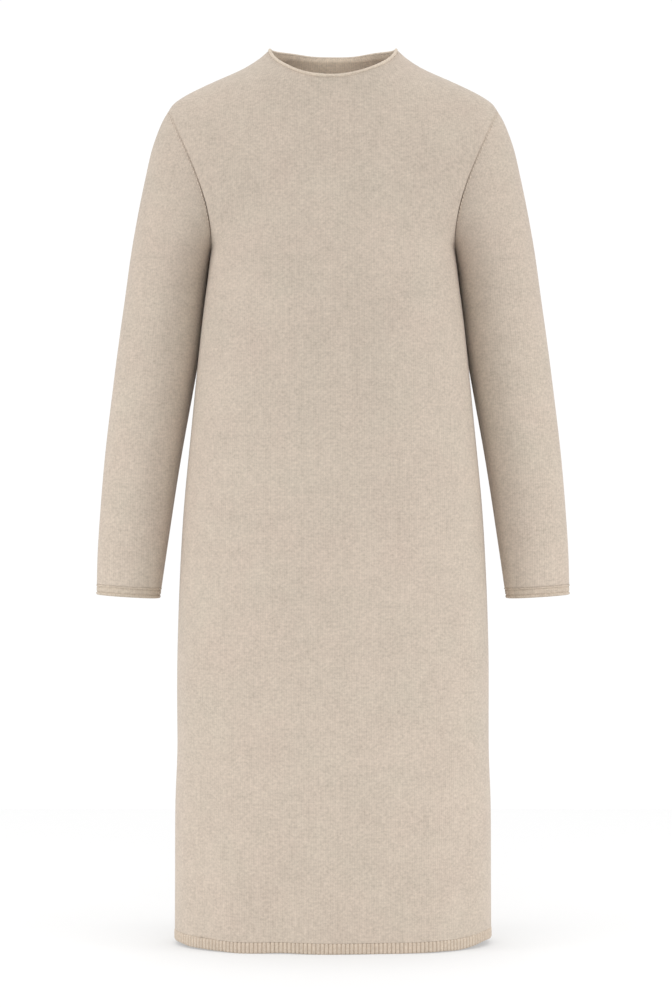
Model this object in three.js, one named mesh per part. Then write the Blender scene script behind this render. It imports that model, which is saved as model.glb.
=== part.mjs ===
// A long-sleeved midi sweater dress in fine felted wool, open and filled out as it is when worn.
// It is knitted in nine pieces: front, back, two sleeves, two cuffs, two halves of the hem rib and a rolled neck edge.
// Each piece is a wall of cloth, worked out from rings and courses, as the panels of a fully fashioned knit are.
import * as THREE from "three";

// Driving dimensions, in millimetres. Seen from the front +X is to the right, -Y is the front and +Z is up.
// The origin is midway between the shoulder seams, level with the points where the collar leaves the shoulders.
const WALL = 2.4; // thickness of the felted knit
const SEAM_GAP = 0.3; // between two pieces that are linked
const HEM_Z = -1114;
const RIB_HEIGHT = 13.5;
const RIB_PITCH = 5.2;
const RIB_RELIEF = 0.9; // from the bottom of a furrow to the top of a rib
const CUFF_TURN = 12; // the sleeve table's last row, where the cuff ends
const CUFF_DROP = 0.45; // down the sleeve, so that it is clear of the sleeve's slanted end too
const ROLL_RADIUS = 2.2;
const ROLL_LIFT = 0.5; // above the collar's edge, so that it is clear at the steep ends of the shoulder seams too

// The side seam, from the hem to the underarm, as it is seen from the front.
const SIDE_SEAM = [
  { z: -1114, x: 200.8 },
  { z: -1040, x: 200.5 },
  { z: -935, x: 200 },
  { z: -870, x: 197.5 },
  { z: -730, x: 197 },
  { z: -580, x: 190.5 },
  { z: -450, x: 178.5 },
  { z: -336, x: 167 },
  { z: -275, x: 159.5 },
  { z: -235, x: 154.5 },
];

// The centre lines of the front and the back, from the hem to the neck edge, as they are seen from the side.
const FRONT_LINE = [
  { z: -1114, depth: 118 },
  { z: -870, depth: 118 },
  { z: -580, depth: 115 },
  { z: -450, depth: 115.5 },
  { z: -336, depth: 119 },
  { z: -275, depth: 118.5 },
  { z: -235, depth: 115.5 },
  { z: -160, depth: 103.5 },
  { z: -95, depth: 89 },
  { z: -52, depth: 78 },
  { z: -36, depth: 74.5 },
  { z: -24, depth: 73 },
];
const BACK_LINE = [
  { z: -1114, depth: 112 },
  { z: -935, depth: 116 },
  { z: -800, depth: 119 },
  { z: -700, depth: 118.5 },
  { z: -580, depth: 112 },
  { z: -450, depth: 102 },
  { z: -350, depth: 100 },
  { z: -260, depth: 104.5 },
  { z: -180, depth: 108 },
  { z: -115, depth: 105 },
  { z: -60, depth: 97 },
  { z: -25, depth: 86 },
  { z: -1, depth: 78 },
  { z: 14, depth: 75 },
];
const SQUARENESS = 2.25; // of a course below the arms: 2 is an ellipse, and more is boxier

// The courses above the arms, from the underarm to the collar, by their place on the centre line.
// crown is how roundly a course comes over the shoulder.
const UPPER_SHAPE = [
  { place: 0, squareness: SQUARENESS, crown: 1.5 },
  { place: 0.35, squareness: 2, crown: 1.8 },
  { place: 0.67, squareness: 2, crown: 2 },
  { place: 0.85, squareness: 2, crown: 1.7 },
  { place: 1, squareness: 2, crown: 1.2 },
];

// The shoulder seam, from the collar's edge to the sleeve head.
const SHOULDER_SEAM = [
  { x: 82, z: 17.2 },
  { x: 90, z: 10 },
  { x: 112, z: -4.3 },
  { x: 146, z: -19.9 },
  { x: 160, z: -26.2 },
  { x: 179, z: -35.4 },
  { x: 193, z: -43.4 },
  { x: 203, z: -50.9 },
  { x: 208, z: -58 },
];

// The armhole is an oval in a plane that leans in towards the underarm. Its middle is bowed towards the chest, and
// skew makes the bow deeper below the middle than above it. lean tips the wall's end out at the shoulder.
// fold parts the two walls' ends at the underarm, where they turn back to back, and FOLD_REACH keeps it there: a
// higher power is a shorter stretch.
const ARMHOLE = { topX: 208, topZ: -58, footX: 154.5, footZ: -235, halfDepth: 58, lean: 0.32, fold: 2.5 };
const FOLD_REACH = 4;
const BOW = 10.5;
const BOW_SKEW = 0.6;

// The sleeve's rings, from the armhole to the cuff's end: its outer line, its inner line, half its depth,
// and how far its middle swings back, as an arm does at the elbow.
const SLEEVE = [
  { turn: 0, outerX: 208, outerZ: -58, innerX: 154.5, innerZ: -235, depth: 58, swing: 0 },
  { turn: 1, outerX: 218, outerZ: -76, innerX: 155.4, innerZ: -239, depth: 57.5, swing: 0 },
  { turn: 2, outerX: 229.6, outerZ: -107, innerX: 156.6, innerZ: -246, depth: 57, swing: 2.5 },
  { turn: 3, outerX: 239, outerZ: -147, innerX: 158, innerZ: -255, depth: 56, swing: 5 },
  { turn: 4, outerX: 248, outerZ: -190, innerX: 160, innerZ: -268, depth: 55, swing: 9 },
  { turn: 5, outerX: 257, outerZ: -240, innerX: 162, innerZ: -288, depth: 53.5, swing: 13 },
  { turn: 6, outerX: 265.2, outerZ: -298, innerX: 165.5, innerZ: -320, depth: 52, swing: 16 },
  { turn: 7, outerX: 271.8, outerZ: -345, innerX: 170, innerZ: -358, depth: 50, swing: 16 },
  { turn: 8, outerX: 279, outerZ: -401, innerX: 178.4, innerZ: -407, depth: 47, swing: 14 },
  { turn: 9, outerX: 290.5, outerZ: -502, innerX: 196, innerZ: -506, depth: 40, swing: 8 },
  { turn: 10, outerX: 298, outerZ: -604, innerX: 211.4, innerZ: -608, depth: 33, swing: 0 },
  { turn: 11, outerX: 299.5, outerZ: -659.5, innerX: 219.5, innerZ: -664.5, depth: 30, swing: -6 },
  { turn: 12, outerX: 299.5, outerZ: -672.5, innerX: 221.5, innerZ: -677.5, depth: 29, swing: -7 },
];
const SLEEVE_CLEARANCE = 1.2; // between the sleeve and the side that it hangs against
const SLEEVE_WRAP = 6; // how far the back of the sleeve lies in behind that side
const WRAP_FULL_AT = 4; // the sleeve table's row from which it does so fully
const BOW_FADES_AT = 4; // the row where the armhole's bow has gone

// The cuff's section: how far down it lies, and how far out from the sleeve's surface.
const CUFF_PROFILE = [
  { down: 0, out: 0.1 },
  { down: 1.2, out: 0.5 },
  { down: 2.4, out: 0 },
  { down: 8.6, out: 0.1 },
  { down: 9.4, out: -0.6 },
  { down: 10.6, out: 0.3 },
  { down: 12.3, out: 0.1 },
  { down: 13, out: -1 },
  { down: 12.3, out: -2.5 },
  { down: 9.6, out: -2.2 },
  { down: 0, out: -2.3 },
];

// Soft drape: each fold runs from its top to its foot, and is a ridge where rise is positive.
const FOLD_ENDS = 1.5; // how softly a fold fades out at both ends: 1 is a plain sine
const FRONT_FOLDS = [
  { topX: -150, topZ: -640, footX: -188, footZ: -860, width: 16, rise: 3 },
  { topX: -118, topZ: -900, footX: -118, footZ: -1330, width: 26, rise: 4 },
  { topX: -72, topZ: -960, footX: -52, footZ: -1300, width: 22, rise: -5 },
  { topX: 122, topZ: -880, footX: 124, footZ: -1330, width: 26, rise: 4 },
  { topX: 60, topZ: -980, footX: 62, footZ: -1300, width: 30, rise: -2.5 },
];
const BACK_FOLDS = [
  { topX: -112, topZ: -760, footX: -122, footZ: -1330, width: 30, rise: 4.5 },
  { topX: -30, topZ: -820, footX: -34, footZ: -1330, width: 32, rise: -4 },
  { topX: 48, topZ: -800, footX: 56, footZ: -1330, width: 30, rise: 4 },
  { topX: 128, topZ: -860, footX: 134, footZ: -1330, width: 24, rise: -3 },
  { topX: 0, topZ: -330, footX: 4, footZ: -560, width: 60, rise: -3 },
];

// How finely each piece is cut into faces, and how finely a course is measured first.
const TAPE_STEPS = 240;
const SEAM_STEP = 0.5; // over which the shoulder seam's slope is taken
const TURN_STEP = 0.05; // round the sleeve, over which the cuff's direction is taken
const SKIRT_ROWS = 10;
const SKIRT_EASE = 1.4; // its courses crowd towards the underarm
const ARMHOLE_ROWS = 12;
const SHOULDER_ROWS = 6;
const SHOULDER_EASE = 1.9; // its courses crowd towards the sleeve head, where the seam bends most
const COLUMNS = 28;
const SLEEVE_ROWS = 20;
const SLEEVE_FACES = 2 * ARMHOLE_ROWS; // so that the sleeve head meets every course of the panels
const ROLL_FACES = 40;
const ROLL_SIDES = 8;

const WOOL = { color: 0xcec0b0, roughness: 0.95, metalness: 0 };

const FRONT = { facing: -1, line: FRONT_LINE, folds: FRONT_FOLDS };
const BACK = { facing: 1, line: BACK_LINE, folds: BACK_FOLDS };

const mix = (a, b, share) => a + (b - a) * share;

// The rise of a smooth curve at one row of a table, from the rows on each side of it.
function slope(rows, key, column, i) {
  const before = rows[Math.max(i - 1, 0)];
  const after = rows[Math.min(i + 1, rows.length - 1)];
  return (after[column] - before[column]) / (after[key] - before[key]);
}

// Reads one column of a table at any value of its key column, on a smooth curve through the rows.
function read(rows, key, column, at) {
  const rising = rows[rows.length - 1][key] > rows[0][key];
  let i = 0;
  while (i < rows.length - 2 && (rising ? rows[i + 1][key] < at : rows[i + 1][key] > at)) i += 1;
  const span = rows[i + 1][key] - rows[i][key];
  const t = THREE.MathUtils.clamp((at - rows[i][key]) / span, 0, 1);
  const start = slope(rows, key, column, i) * span;
  const end = slope(rows, key, column, i + 1) * span;
  const a = rows[i][column];
  const b = rows[i + 1][column];
  return (
    a * (2 * t ** 3 - 3 * t ** 2 + 1) +
    b * (3 * t ** 2 - 2 * t ** 3) +
    start * (t ** 3 - 2 * t ** 2 + t) +
    end * (t ** 3 - t ** 2)
  );
}

// How far the armhole's edge is bowed towards the chest at an angle, and how quickly that grows with the angle.
function armholeBow(angle) {
  const c = Math.cos(angle);
  const s = Math.sin(angle);
  const skewed = 1 - BOW_SKEW * c;
  return { depth: BOW * s * s * skewed, growth: BOW * (2 * s * c * skewed + BOW_SKEW * s ** 3) };
}

// A point of the armhole's edge. The angle is 0 at the shoulder, a quarter turn at the chest and half at the underarm.
// side is 1 for the sleeve's edge and -1 for the panel's, and lean is the way that the wall's thickness points there.
function armhole(angle, side) {
  const half = new THREE.Vector3(ARMHOLE.topX - ARMHOLE.footX, 0, ARMHOLE.topZ - ARMHOLE.footZ).divideScalar(2);
  const middle = new THREE.Vector3(ARMHOLE.topX + ARMHOLE.footX, 0, ARMHOLE.topZ + ARMHOLE.footZ).divideScalar(2);
  const up = half.clone().normalize();
  const forward = new THREE.Vector3(0, -1, 0);
  const away = new THREE.Vector3(up.z, 0, -up.x);
  const c = Math.cos(angle);
  const s = Math.sin(angle);
  const at = middle.addScaledVector(half, c).addScaledVector(forward, ARMHOLE.halfDepth * s);
  const bow = armholeBow(angle);
  at.x -= bow.depth;
  const along = half.clone().multiplyScalar(-s).addScaledVector(forward, ARMHOLE.halfDepth * c);
  along.x -= bow.growth;
  along.normalize();
  const lean = up
    .multiplyScalar(c / half.length())
    .addScaledVector(forward, s / ARMHOLE.halfDepth)
    .normalize()
    .addScaledVector(away, ARMHOLE.lean * (1 + c));
  lean.addScaledVector(along, -lean.dot(along)).normalize();
  const outward = new THREE.Vector3().crossVectors(along, lean);
  outward.multiplyScalar(Math.sign(outward.dot(away)));
  at.addScaledVector(outward, (side * SEAM_GAP) / 2);
  lean.addScaledVector(outward, -side * ARMHOLE.fold * ((1 - c) / 2) ** FOLD_REACH).normalize();
  return { at, lean };
}

// How far out a soft fold lifts the cloth at a place on its panel.
function foldRise(folds, x, z) {
  return folds.reduce((sum, fold) => {
    const runX = fold.footX - fold.topX;
    const runZ = fold.footZ - fold.topZ;
    const length = Math.hypot(runX, runZ);
    const share = THREE.MathUtils.clamp(((x - fold.topX) * runX + (z - fold.topZ) * runZ) / length ** 2, 0, 1);
    const off = ((x - fold.topX) * runZ - (z - fold.topZ) * runX) / length;
    return sum + fold.rise * Math.sin(Math.PI * share) ** FOLD_ENDS * Math.exp(-((off / fold.width) ** 2));
  }, 0);
}

// The stations of a panel, from the hem up. Each one says where its course meets the seam, which way the cloth's
// thickness points there, and how high the course crosses the centre line.
function skirtStation(panel, z) {
  return {
    edge: new THREE.Vector3(read(SIDE_SEAM, "z", "x", z), (panel.facing * SEAM_GAP) / 2, z),
    lean: new THREE.Vector3(1, 0, 0),
    centreZ: z,
    centreY: panel.facing * read(panel.line, "z", "depth", z),
    squareness: SQUARENESS,
    crown: 1,
  };
}

function upperStation(panel, step) {
  const share = step / (ARMHOLE_ROWS + SHOULDER_ROWS);
  const centreZ = mix(ARMHOLE.footZ, panel.line[panel.line.length - 1].z, share);
  const station = {
    centreZ,
    centreY: panel.facing * read(panel.line, "z", "depth", centreZ),
    squareness: read(UPPER_SHAPE, "place", "squareness", share),
    crown: read(UPPER_SHAPE, "place", "crown", share),
  };
  if (step <= ARMHOLE_ROWS) {
    const { at, lean } = armhole(Math.PI * (1 - step / ARMHOLE_ROWS), -1);
    at.y = panel.facing * Math.max(-at.y, SEAM_GAP / 2);
    lean.y *= -panel.facing;
    return { ...station, edge: at, lean };
  }
  const x = mix(ARMHOLE.topX, SHOULDER_SEAM[0].x, ((step - ARMHOLE_ROWS) / SHOULDER_ROWS) ** SHOULDER_EASE);
  const steepness = slopeAt(SHOULDER_SEAM, "x", "z", x);
  return {
    ...station,
    edge: new THREE.Vector3(x, (panel.facing * SEAM_GAP) / 2, read(SHOULDER_SEAM, "x", "z", x)),
    lean: new THREE.Vector3(-steepness, 0, 1).normalize(),
  };
}

function slopeAt(rows, key, column, at) {
  const low = Math.max(at - SEAM_STEP, rows[0][key]);
  const high = Math.min(at + SEAM_STEP, rows[rows.length - 1][key]);
  return (read(rows, key, column, high) - read(rows, key, column, low)) / (high - low);
}

// A point of a course. across runs from -1 at one seam, through 0 on the centre line, to 1 at the other seam.
function coursePoint(panel, station, across) {
  const { edge, centreY, centreZ, squareness, crown } = station;
  const power = 2 / squareness;
  const edgeSine = (edge.y / centreY) ** (1 / power);
  const edgeAngle = Math.asin(edgeSine);
  const angle = mix(Math.PI / 2, edgeAngle, Math.abs(across));
  const sine = Math.sin(angle);
  const x = -panel.facing * Math.sign(across) * edge.x * (Math.cos(angle) / Math.cos(edgeAngle)) ** power;
  const y = centreY * sine ** power;
  const share = Math.max(0, (sine - edgeSine) / (1 - edgeSine));
  const z = mix(edge.z, centreZ, share ** crown);
  const out = new THREE.Vector3(x / edge.x ** 2, y / centreY ** 2, 0).normalize();
  return new THREE.Vector3(x, y, z).addScaledVector(out, foldRise(panel.folds, x, z));
}

// A course cut into steps of one length along the cloth, with the wall's direction given at its two seams.
function courseRow(panel, station, steps) {
  const fine = Array.from({ length: TAPE_STEPS + 1 }, (_, i) => (2 * i) / TAPE_STEPS - 1);
  const points = fine.map((across) => coursePoint(panel, station, across));
  const lengths = [0];
  for (let i = 1; i <= TAPE_STEPS; i += 1) lengths.push(lengths[i - 1] + points[i].distanceTo(points[i - 1]));
  let k = 0;
  const row = Array.from({ length: steps + 1 }, (_, j) => {
    const wanted = (lengths[TAPE_STEPS] * j) / steps;
    while (k < TAPE_STEPS - 1 && lengths[k + 1] < wanted) k += 1;
    const share = (wanted - lengths[k]) / (lengths[k + 1] - lengths[k]);
    return { at: coursePoint(panel, station, mix(fine[k], fine[k + 1], share)) };
  });
  const { lean } = station;
  row[0].lean = new THREE.Vector3(lean.x * panel.facing, lean.y, lean.z);
  row[steps].lean = new THREE.Vector3(-lean.x * panel.facing, lean.y, lean.z);
  return row;
}

// The direction of the cloth's thickness at one point of a grid, outwards, from its neighbours.
function outwardAt(grid, i, j, closed) {
  if (grid[i][j].lean) return grid[i][j].lean;
  const rows = grid.length;
  const columns = grid[i].length;
  const left = closed ? (j + columns - 1) % columns : Math.max(j - 1, 0);
  const right = closed ? (j + 1) % columns : Math.min(j + 1, columns - 1);
  const across = grid[i][right].at.clone().sub(grid[i][left].at);
  const along = grid[Math.min(i + 1, rows - 1)][j].at.clone().sub(grid[Math.max(i - 1, 0)][j].at);
  return across.cross(along).normalize();
}

// A wall of cloth: the grid is its outer face, lift raises ribs on it, and the inner face lies a wall's thickness in.
function clothWall(grid, { closed = false, lift = () => 0 } = {}) {
  const rows = grid.length;
  const columns = grid[0].length;
  const outer = [];
  const inner = [];
  grid.forEach((row, i) =>
    row.forEach(({ at }, j) => {
      const outward = outwardAt(grid, i, j, closed);
      outer.push(at.clone().addScaledVector(outward, lift(i, j)));
      inner.push(at.clone().addScaledVector(outward, -WALL));
    }),
  );
  const faces = [];
  const quad = (a, b, c, d) => faces.push(a, b, c, a, c, d);
  const index = (i, j) => i * columns + (j % columns);
  const lastColumn = closed ? columns : columns - 1;
  const inside = outer.length;
  for (let i = 0; i < rows - 1; i += 1) {
    for (let j = 0; j < lastColumn; j += 1) {
      const [a, b, c, d] = [index(i, j), index(i, j + 1), index(i + 1, j + 1), index(i + 1, j)];
      quad(a, b, c, d);
      quad(inside + a, inside + d, inside + c, inside + b);
    }
    if (closed) continue;
    const [a, d] = [index(i, 0), index(i + 1, 0)];
    const [b, c] = [index(i, columns - 1), index(i + 1, columns - 1)];
    quad(a, d, inside + d, inside + a);
    quad(b, inside + b, inside + c, c);
  }
  for (let j = 0; j < lastColumn; j += 1) {
    const [a, b] = [index(0, j), index(0, j + 1)];
    const [c, d] = [index(rows - 1, j + 1), index(rows - 1, j)];
    quad(a, inside + a, inside + b, b);
    quad(c, inside + c, inside + d, d);
  }
  return geometryOf([...outer, ...inner], faces);
}

// A ring of any section, carried round a closed line: sections[i][j] is corner j of the section at place i.
function ringOf(sections) {
  const sides = sections[0].length;
  const faces = [];
  sections.forEach((_, i) => {
    const next = ((i + 1) % sections.length) * sides;
    for (let j = 0; j < sides; j += 1) {
      const [a, b] = [i * sides + j, i * sides + ((j + 1) % sides)];
      const [c, d] = [next + ((j + 1) % sides), next + j];
      faces.push(a, d, c, a, c, b);
    }
  });
  return geometryOf(sections.flat(), faces);
}

function geometryOf(points, faces) {
  const geometry = new THREE.BufferGeometry();
  geometry.setAttribute("position", new THREE.Float32BufferAttribute(points.flatMap((p) => p.toArray()), 3));
  geometry.setIndex(faces);
  geometry.computeVertexNormals();
  return geometry;
}

// The same piece for the other side of the body.
function mirrored(geometry) {
  const copy = geometry.clone().scale(-1, 1, 1);
  const faces = Array.from(copy.index.array);
  for (let i = 0; i < faces.length; i += 3) [faces[i + 1], faces[i + 2]] = [faces[i + 2], faces[i + 1]];
  copy.setIndex(faces);
  copy.computeVertexNormals();
  return copy;
}

function panelGeometry(panel) {
  const stations = [];
  const lowest = HEM_Z + RIB_HEIGHT + SEAM_GAP;
  for (let i = 0; i < SKIRT_ROWS; i += 1) {
    const share = 1 - (1 - i / SKIRT_ROWS) ** SKIRT_EASE;
    stations.push(skirtStation(panel, mix(lowest, ARMHOLE.footZ, share)));
  }
  for (let step = 0; step <= ARMHOLE_ROWS + SHOULDER_ROWS; step += 1) {
    stations.push(upperStation(panel, step));
  }
  return clothWall(stations.map((station) => courseRow(panel, station, COLUMNS)));
}

function hemRibGeometry(panel) {
  const ribs = Math.round(courseLength(panel, skirtStation(panel, HEM_Z)) / RIB_PITCH);
  const rows = [HEM_Z, HEM_Z + RIB_HEIGHT].map((z) => courseRow(panel, skirtStation(panel, z), 2 * ribs));
  return clothWall(rows, { lift: (_, j) => (j % 2 ? RIB_RELIEF / 2 : -RIB_RELIEF / 2) });
}

// The length of a course along the cloth.
function courseLength(panel, station) {
  const row = courseRow(panel, station, TAPE_STEPS / 2);
  return row.slice(1).reduce((sum, { at }, i) => sum + at.distanceTo(row[i].at), 0);
}

// The half width of the body at a place in its side, below the arms.
function bodySide(y, z) {
  const depth = read(y < 0 ? FRONT_LINE : BACK_LINE, "z", "depth", z);
  const share = Math.min(Math.abs(y) / depth, 1);
  return read(SIDE_SEAM, "z", "x", z) * (1 - share ** SQUARENESS) ** (1 / SQUARENESS);
}

// A point of the sleeve. turn runs down the sleeve by the table's rows, and the angle is 0 along the outer line.
// Where the sleeve hangs against the body, its inner side lies flat along it, and a little round behind it.
function sleevePoint(turn, angle) {
  const ring = (column) => read(SLEEVE, "turn", column, turn);
  const c = Math.cos(angle);
  const s = Math.sin(angle);
  const x = mix(ring("innerX"), ring("outerX"), (1 + c) / 2);
  const z = mix(ring("innerZ"), ring("outerZ"), (1 + c) / 2);
  const y = ring("swing") - ring("depth") * s;
  const bow = armholeBow(angle).depth * Math.max(1 - turn / BOW_FADES_AT, 0);
  const wrap = SLEEVE_WRAP * Math.min(turn / WRAP_FULL_AT, 1) * Math.max(-s, 0) * (1 - c);
  const clear = z < ARMHOLE.footZ ? bodySide(y, z) + SLEEVE_CLEARANCE : 0;
  return new THREE.Vector3(Math.max(x - bow - wrap, clear), y, z);
}

function sleeveGeometry() {
  const angles = Array.from({ length: SLEEVE_FACES }, (_, j) => (2 * Math.PI * j) / SLEEVE_FACES);
  const rows = [angles.map((angle) => armhole(angle, 1))];
  for (let i = 1; i <= SLEEVE_ROWS; i += 1) {
    const turn = ((CUFF_TURN - 1) * i) / SLEEVE_ROWS;
    rows.push(angles.map((angle) => ({ at: sleevePoint(turn, angle) })));
  }
  return clothWall(rows, { closed: true });
}

function cuffGeometry() {
  const length = CUFF_PROFILE.reduce((most, row) => Math.max(most, row.down), 0);
  const angles = Array.from({ length: SLEEVE_FACES }, (_, j) => (2 * Math.PI * j) / SLEEVE_FACES);
  const sections = angles.map((angle) => {
    const top = sleevePoint(CUFF_TURN - 1, angle);
    const foot = sleevePoint(CUFF_TURN, angle);
    const down = foot.clone().sub(top).normalize();
    const round = sleevePoint(CUFF_TURN, angle + TURN_STEP).sub(sleevePoint(CUFF_TURN, angle - TURN_STEP));
    const outward = round.cross(down).normalize();
    return CUFF_PROFILE.map((row) =>
      top
        .clone()
        .lerp(foot, row.down / length)
        .addScaledVector(down, CUFF_DROP)
        .addScaledVector(outward, row.out),
    );
  });
  return ringOf(sections);
}

// The rolled edge sits on the top of both panels, so it is carried round their last courses.
function neckRollGeometry() {
  const ends = [FRONT, BACK].flatMap((panel) => {
    const last = ARMHOLE_ROWS + SHOULDER_ROWS;
    const [below, edge] = [last - 1, last].map((step) => courseRow(panel, upperStation(panel, step), ROLL_FACES / 2));
    return edge.slice(0, -1).map(({ at }, j) => ({ at, up: at.clone().sub(below[j].at).normalize() }));
  });
  const sections = ends.map(({ at, up }, i) => {
    const before = ends[(i + ends.length - 1) % ends.length].at;
    const after = ends[(i + 1) % ends.length].at;
    const outward = after.clone().sub(before).cross(up).normalize();
    const heart = at
      .clone()
      .addScaledVector(outward, -WALL / 2)
      .addScaledVector(up, ROLL_RADIUS + ROLL_LIFT);
    return Array.from({ length: ROLL_SIDES }, (_, j) => {
      const angle = (2 * Math.PI * (j + 0.5)) / ROLL_SIDES;
      return heart
        .clone()
        .addScaledVector(outward, ROLL_RADIUS * Math.cos(angle))
        .addScaledVector(up, ROLL_RADIUS * Math.sin(angle));
    });
  });
  return ringOf(sections);
}

function piece(name, geometry) {
  const mesh = new THREE.Mesh(geometry, new THREE.MeshStandardMaterial({ ...WOOL, side: THREE.FrontSide }));
  mesh.name = name;
  return mesh;
}

const dress = new THREE.Group();
dress.name = "sweater_dress";
dress.add(piece("front_panel", panelGeometry(FRONT)));
dress.add(piece("back_panel", panelGeometry(BACK)));
dress.add(piece("hem_rib_front", hemRibGeometry(FRONT)));
dress.add(piece("hem_rib_back", hemRibGeometry(BACK)));
const sleeve = sleeveGeometry();
const cuff = cuffGeometry();
dress.add(piece("sleeve_left", sleeve));
dress.add(piece("cuff_left", cuff));
dress.add(piece("sleeve_right", mirrored(sleeve)));
dress.add(piece("cuff_right", mirrored(cuff)));
dress.add(piece("neck_roll", neckRollGeometry()));

export default dress;
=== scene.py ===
# %% [markdown]
# A long-sleeved midi sweater dress, filled out as it is when worn.
# The real one is fully fashioned knitwear: every panel comes off the machine in its own shape, and is
# then linked to the next one stitch by stitch, washed until the wool felts, and pressed. So this lesson
# makes it the same way: each panel is one surface worked out course by course, with a wall behind it, and
# the seams are where two panels turn in towards each other.
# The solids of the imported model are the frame. They already have the true size, so everything here is
# worked out from the same few tables, and only adds what is too fine for a solid.

import bpy
import numpy as np
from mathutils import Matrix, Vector


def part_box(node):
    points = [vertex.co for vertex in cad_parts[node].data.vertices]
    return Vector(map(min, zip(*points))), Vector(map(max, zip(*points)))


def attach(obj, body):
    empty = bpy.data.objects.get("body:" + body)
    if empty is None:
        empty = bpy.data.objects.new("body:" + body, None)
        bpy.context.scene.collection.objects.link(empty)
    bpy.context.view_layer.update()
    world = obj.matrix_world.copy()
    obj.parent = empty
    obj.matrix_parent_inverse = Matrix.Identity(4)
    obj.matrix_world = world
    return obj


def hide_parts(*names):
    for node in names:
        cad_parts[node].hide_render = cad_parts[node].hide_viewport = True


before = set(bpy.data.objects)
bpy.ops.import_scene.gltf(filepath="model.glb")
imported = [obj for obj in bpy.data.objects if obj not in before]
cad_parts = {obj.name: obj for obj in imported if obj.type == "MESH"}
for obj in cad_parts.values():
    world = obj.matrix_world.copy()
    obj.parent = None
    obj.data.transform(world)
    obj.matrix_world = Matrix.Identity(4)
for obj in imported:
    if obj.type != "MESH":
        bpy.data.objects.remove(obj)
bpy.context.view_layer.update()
print("frame nodes:", sorted(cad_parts))

# %% [markdown]
# A knitter's tables come first: the side seam seen from the front, the centre lines seen from the side,
# and the shoulder seam. A table names its columns once, and then has a row for each place. They are in
# millimetres, with the front of the dress facing -Y, its left side along +X, and the origin between the
# two shoulder seams. The hem's height is read from the frame, so the two models can't drift apart.

# %% Sizes of the body
def rows(columns, *values):
    """A table: the names of its columns once, and then each row as a tuple."""
    return [dict(zip(columns.split(), row)) for row in values]


MM = 0.001
HEM_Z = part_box("hem_rib_front")[0].z / MM
WALL = 2.4
RIB_HEIGHT = 13.5
RIB_PITCH = 5.2
LINK_GAP = 0.1

SIDE_SEAM = rows(
    "z x",
    (-1114, 200.8), (-1040, 200.5), (-935, 200), (-870, 197.5), (-730, 197), (-580, 190.5),
    (-450, 178.5), (-336, 167), (-275, 159.5), (-235, 154.5),
)
FRONT_LINE = rows(
    "z depth",
    (-1114, 118), (-870, 118), (-580, 115), (-450, 115.5), (-336, 119), (-275, 118.5),
    (-235, 115.5), (-160, 103.5), (-95, 89), (-52, 78), (-36, 74.5), (-24, 73),
)
BACK_LINE = rows(
    "z depth",
    (-1114, 112), (-935, 116), (-800, 119), (-700, 118.5), (-580, 112), (-450, 102),
    (-350, 100), (-260, 104.5), (-180, 108), (-115, 105), (-60, 97), (-25, 86), (-1, 78),
    (14, 75),
)
SHOULDER_SEAM = rows(
    "x z",
    (82, 17.2), (90, 10), (112, -4.3), (146, -19.9), (160, -26.2), (179, -35.4),
    (193, -43.4), (203, -50.9), (208, -58),
)
SQUARENESS = 2.25
UPPER_SHAPE = rows(
    "place squareness crown",
    (0, SQUARENESS, 1.5), (0.35, 2, 1.8), (0.67, 2, 2), (0.85, 2, 1.7), (1, 2, 1.2),
)
ARMHOLE = dict(top_x=208, top_z=-58, foot_x=154.5, foot_z=-235, half_depth=58, lean=0.32, fold=2.5)
BOW = 10.5
BOW_SKEW = 0.6
print("hem at", round(HEM_Z, 1), "mm")

# %% [markdown]
# Drape is a table too. A fold runs from its top to its foot, and is a ridge where its rise is positive.
# The large ones are in the solids as well. The small ones, with a rise of about a millimetre, are only
# here: they are what the eye reads as soft wool instead of card, and they are uneven because real ones
# are.

# %% Folds
FRONT_FOLDS = rows(
    "top_x top_z foot_x foot_z width rise",
    (-150, -640, -188, -860, 16, 3),
    (-118, -900, -118, -1330, 26, 4),
    (-72, -960, -52, -1300, 22, -5),
    (122, -880, 124, -1330, 26, 4),
    (60, -980, 62, -1300, 30, -2.5),
)
FRONT_CREASES = rows(
    "top_x top_z foot_x foot_z width rise",
    (-150, -130, -128, -275, 12, 1.5),
    (150, -140, 130, -290, 13, 1.4),
    (-152, -250, -110, -345, 15, -1.3),
    (152, -255, 118, -330, 14, -1.1),
    (176, -640, 182, -980, 13, 1.3),
    (-166, -800, -160, -1260, 17, -2.4),
    (166, -830, 167, -1260, 13, -2.0),
    (20, -560, -30, -900, 38, 1.0),
    (95, -420, 60, -700, 34, -0.9),
)
BACK_FOLDS = rows(
    "top_x top_z foot_x foot_z width rise",
    (-112, -760, -122, -1330, 30, 4.5),
    (-30, -820, -34, -1330, 32, -4),
    (48, -800, 56, -1330, 30, 4),
    (128, -860, 134, -1330, 24, -3),
    (0, -330, 4, -560, 60, -3),
)
BACK_CREASES = rows(
    "top_x top_z foot_x foot_z width rise",
    (-148, -150, -112, -300, 13, 1.4),
    (150, -140, 122, -270, 12, 1.6),
    (-70, -90, 70, -84, 12, -0.9),
    (-120, -400, 40, -455, 13, -1.6),
    (110, -430, -30, -490, 12, 1.3),
    (172, -620, 180, -960, 14, 1.4),
    (-176, -700, -170, -1150, 13, -1.5),
)

# %% [markdown]
# The hem and the neckline aren't quite level either. Each swings up and down a little along its way
# round, and that is a table of waves: where, how wide and how far up. It fades out a little way from the
# edge.

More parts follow.
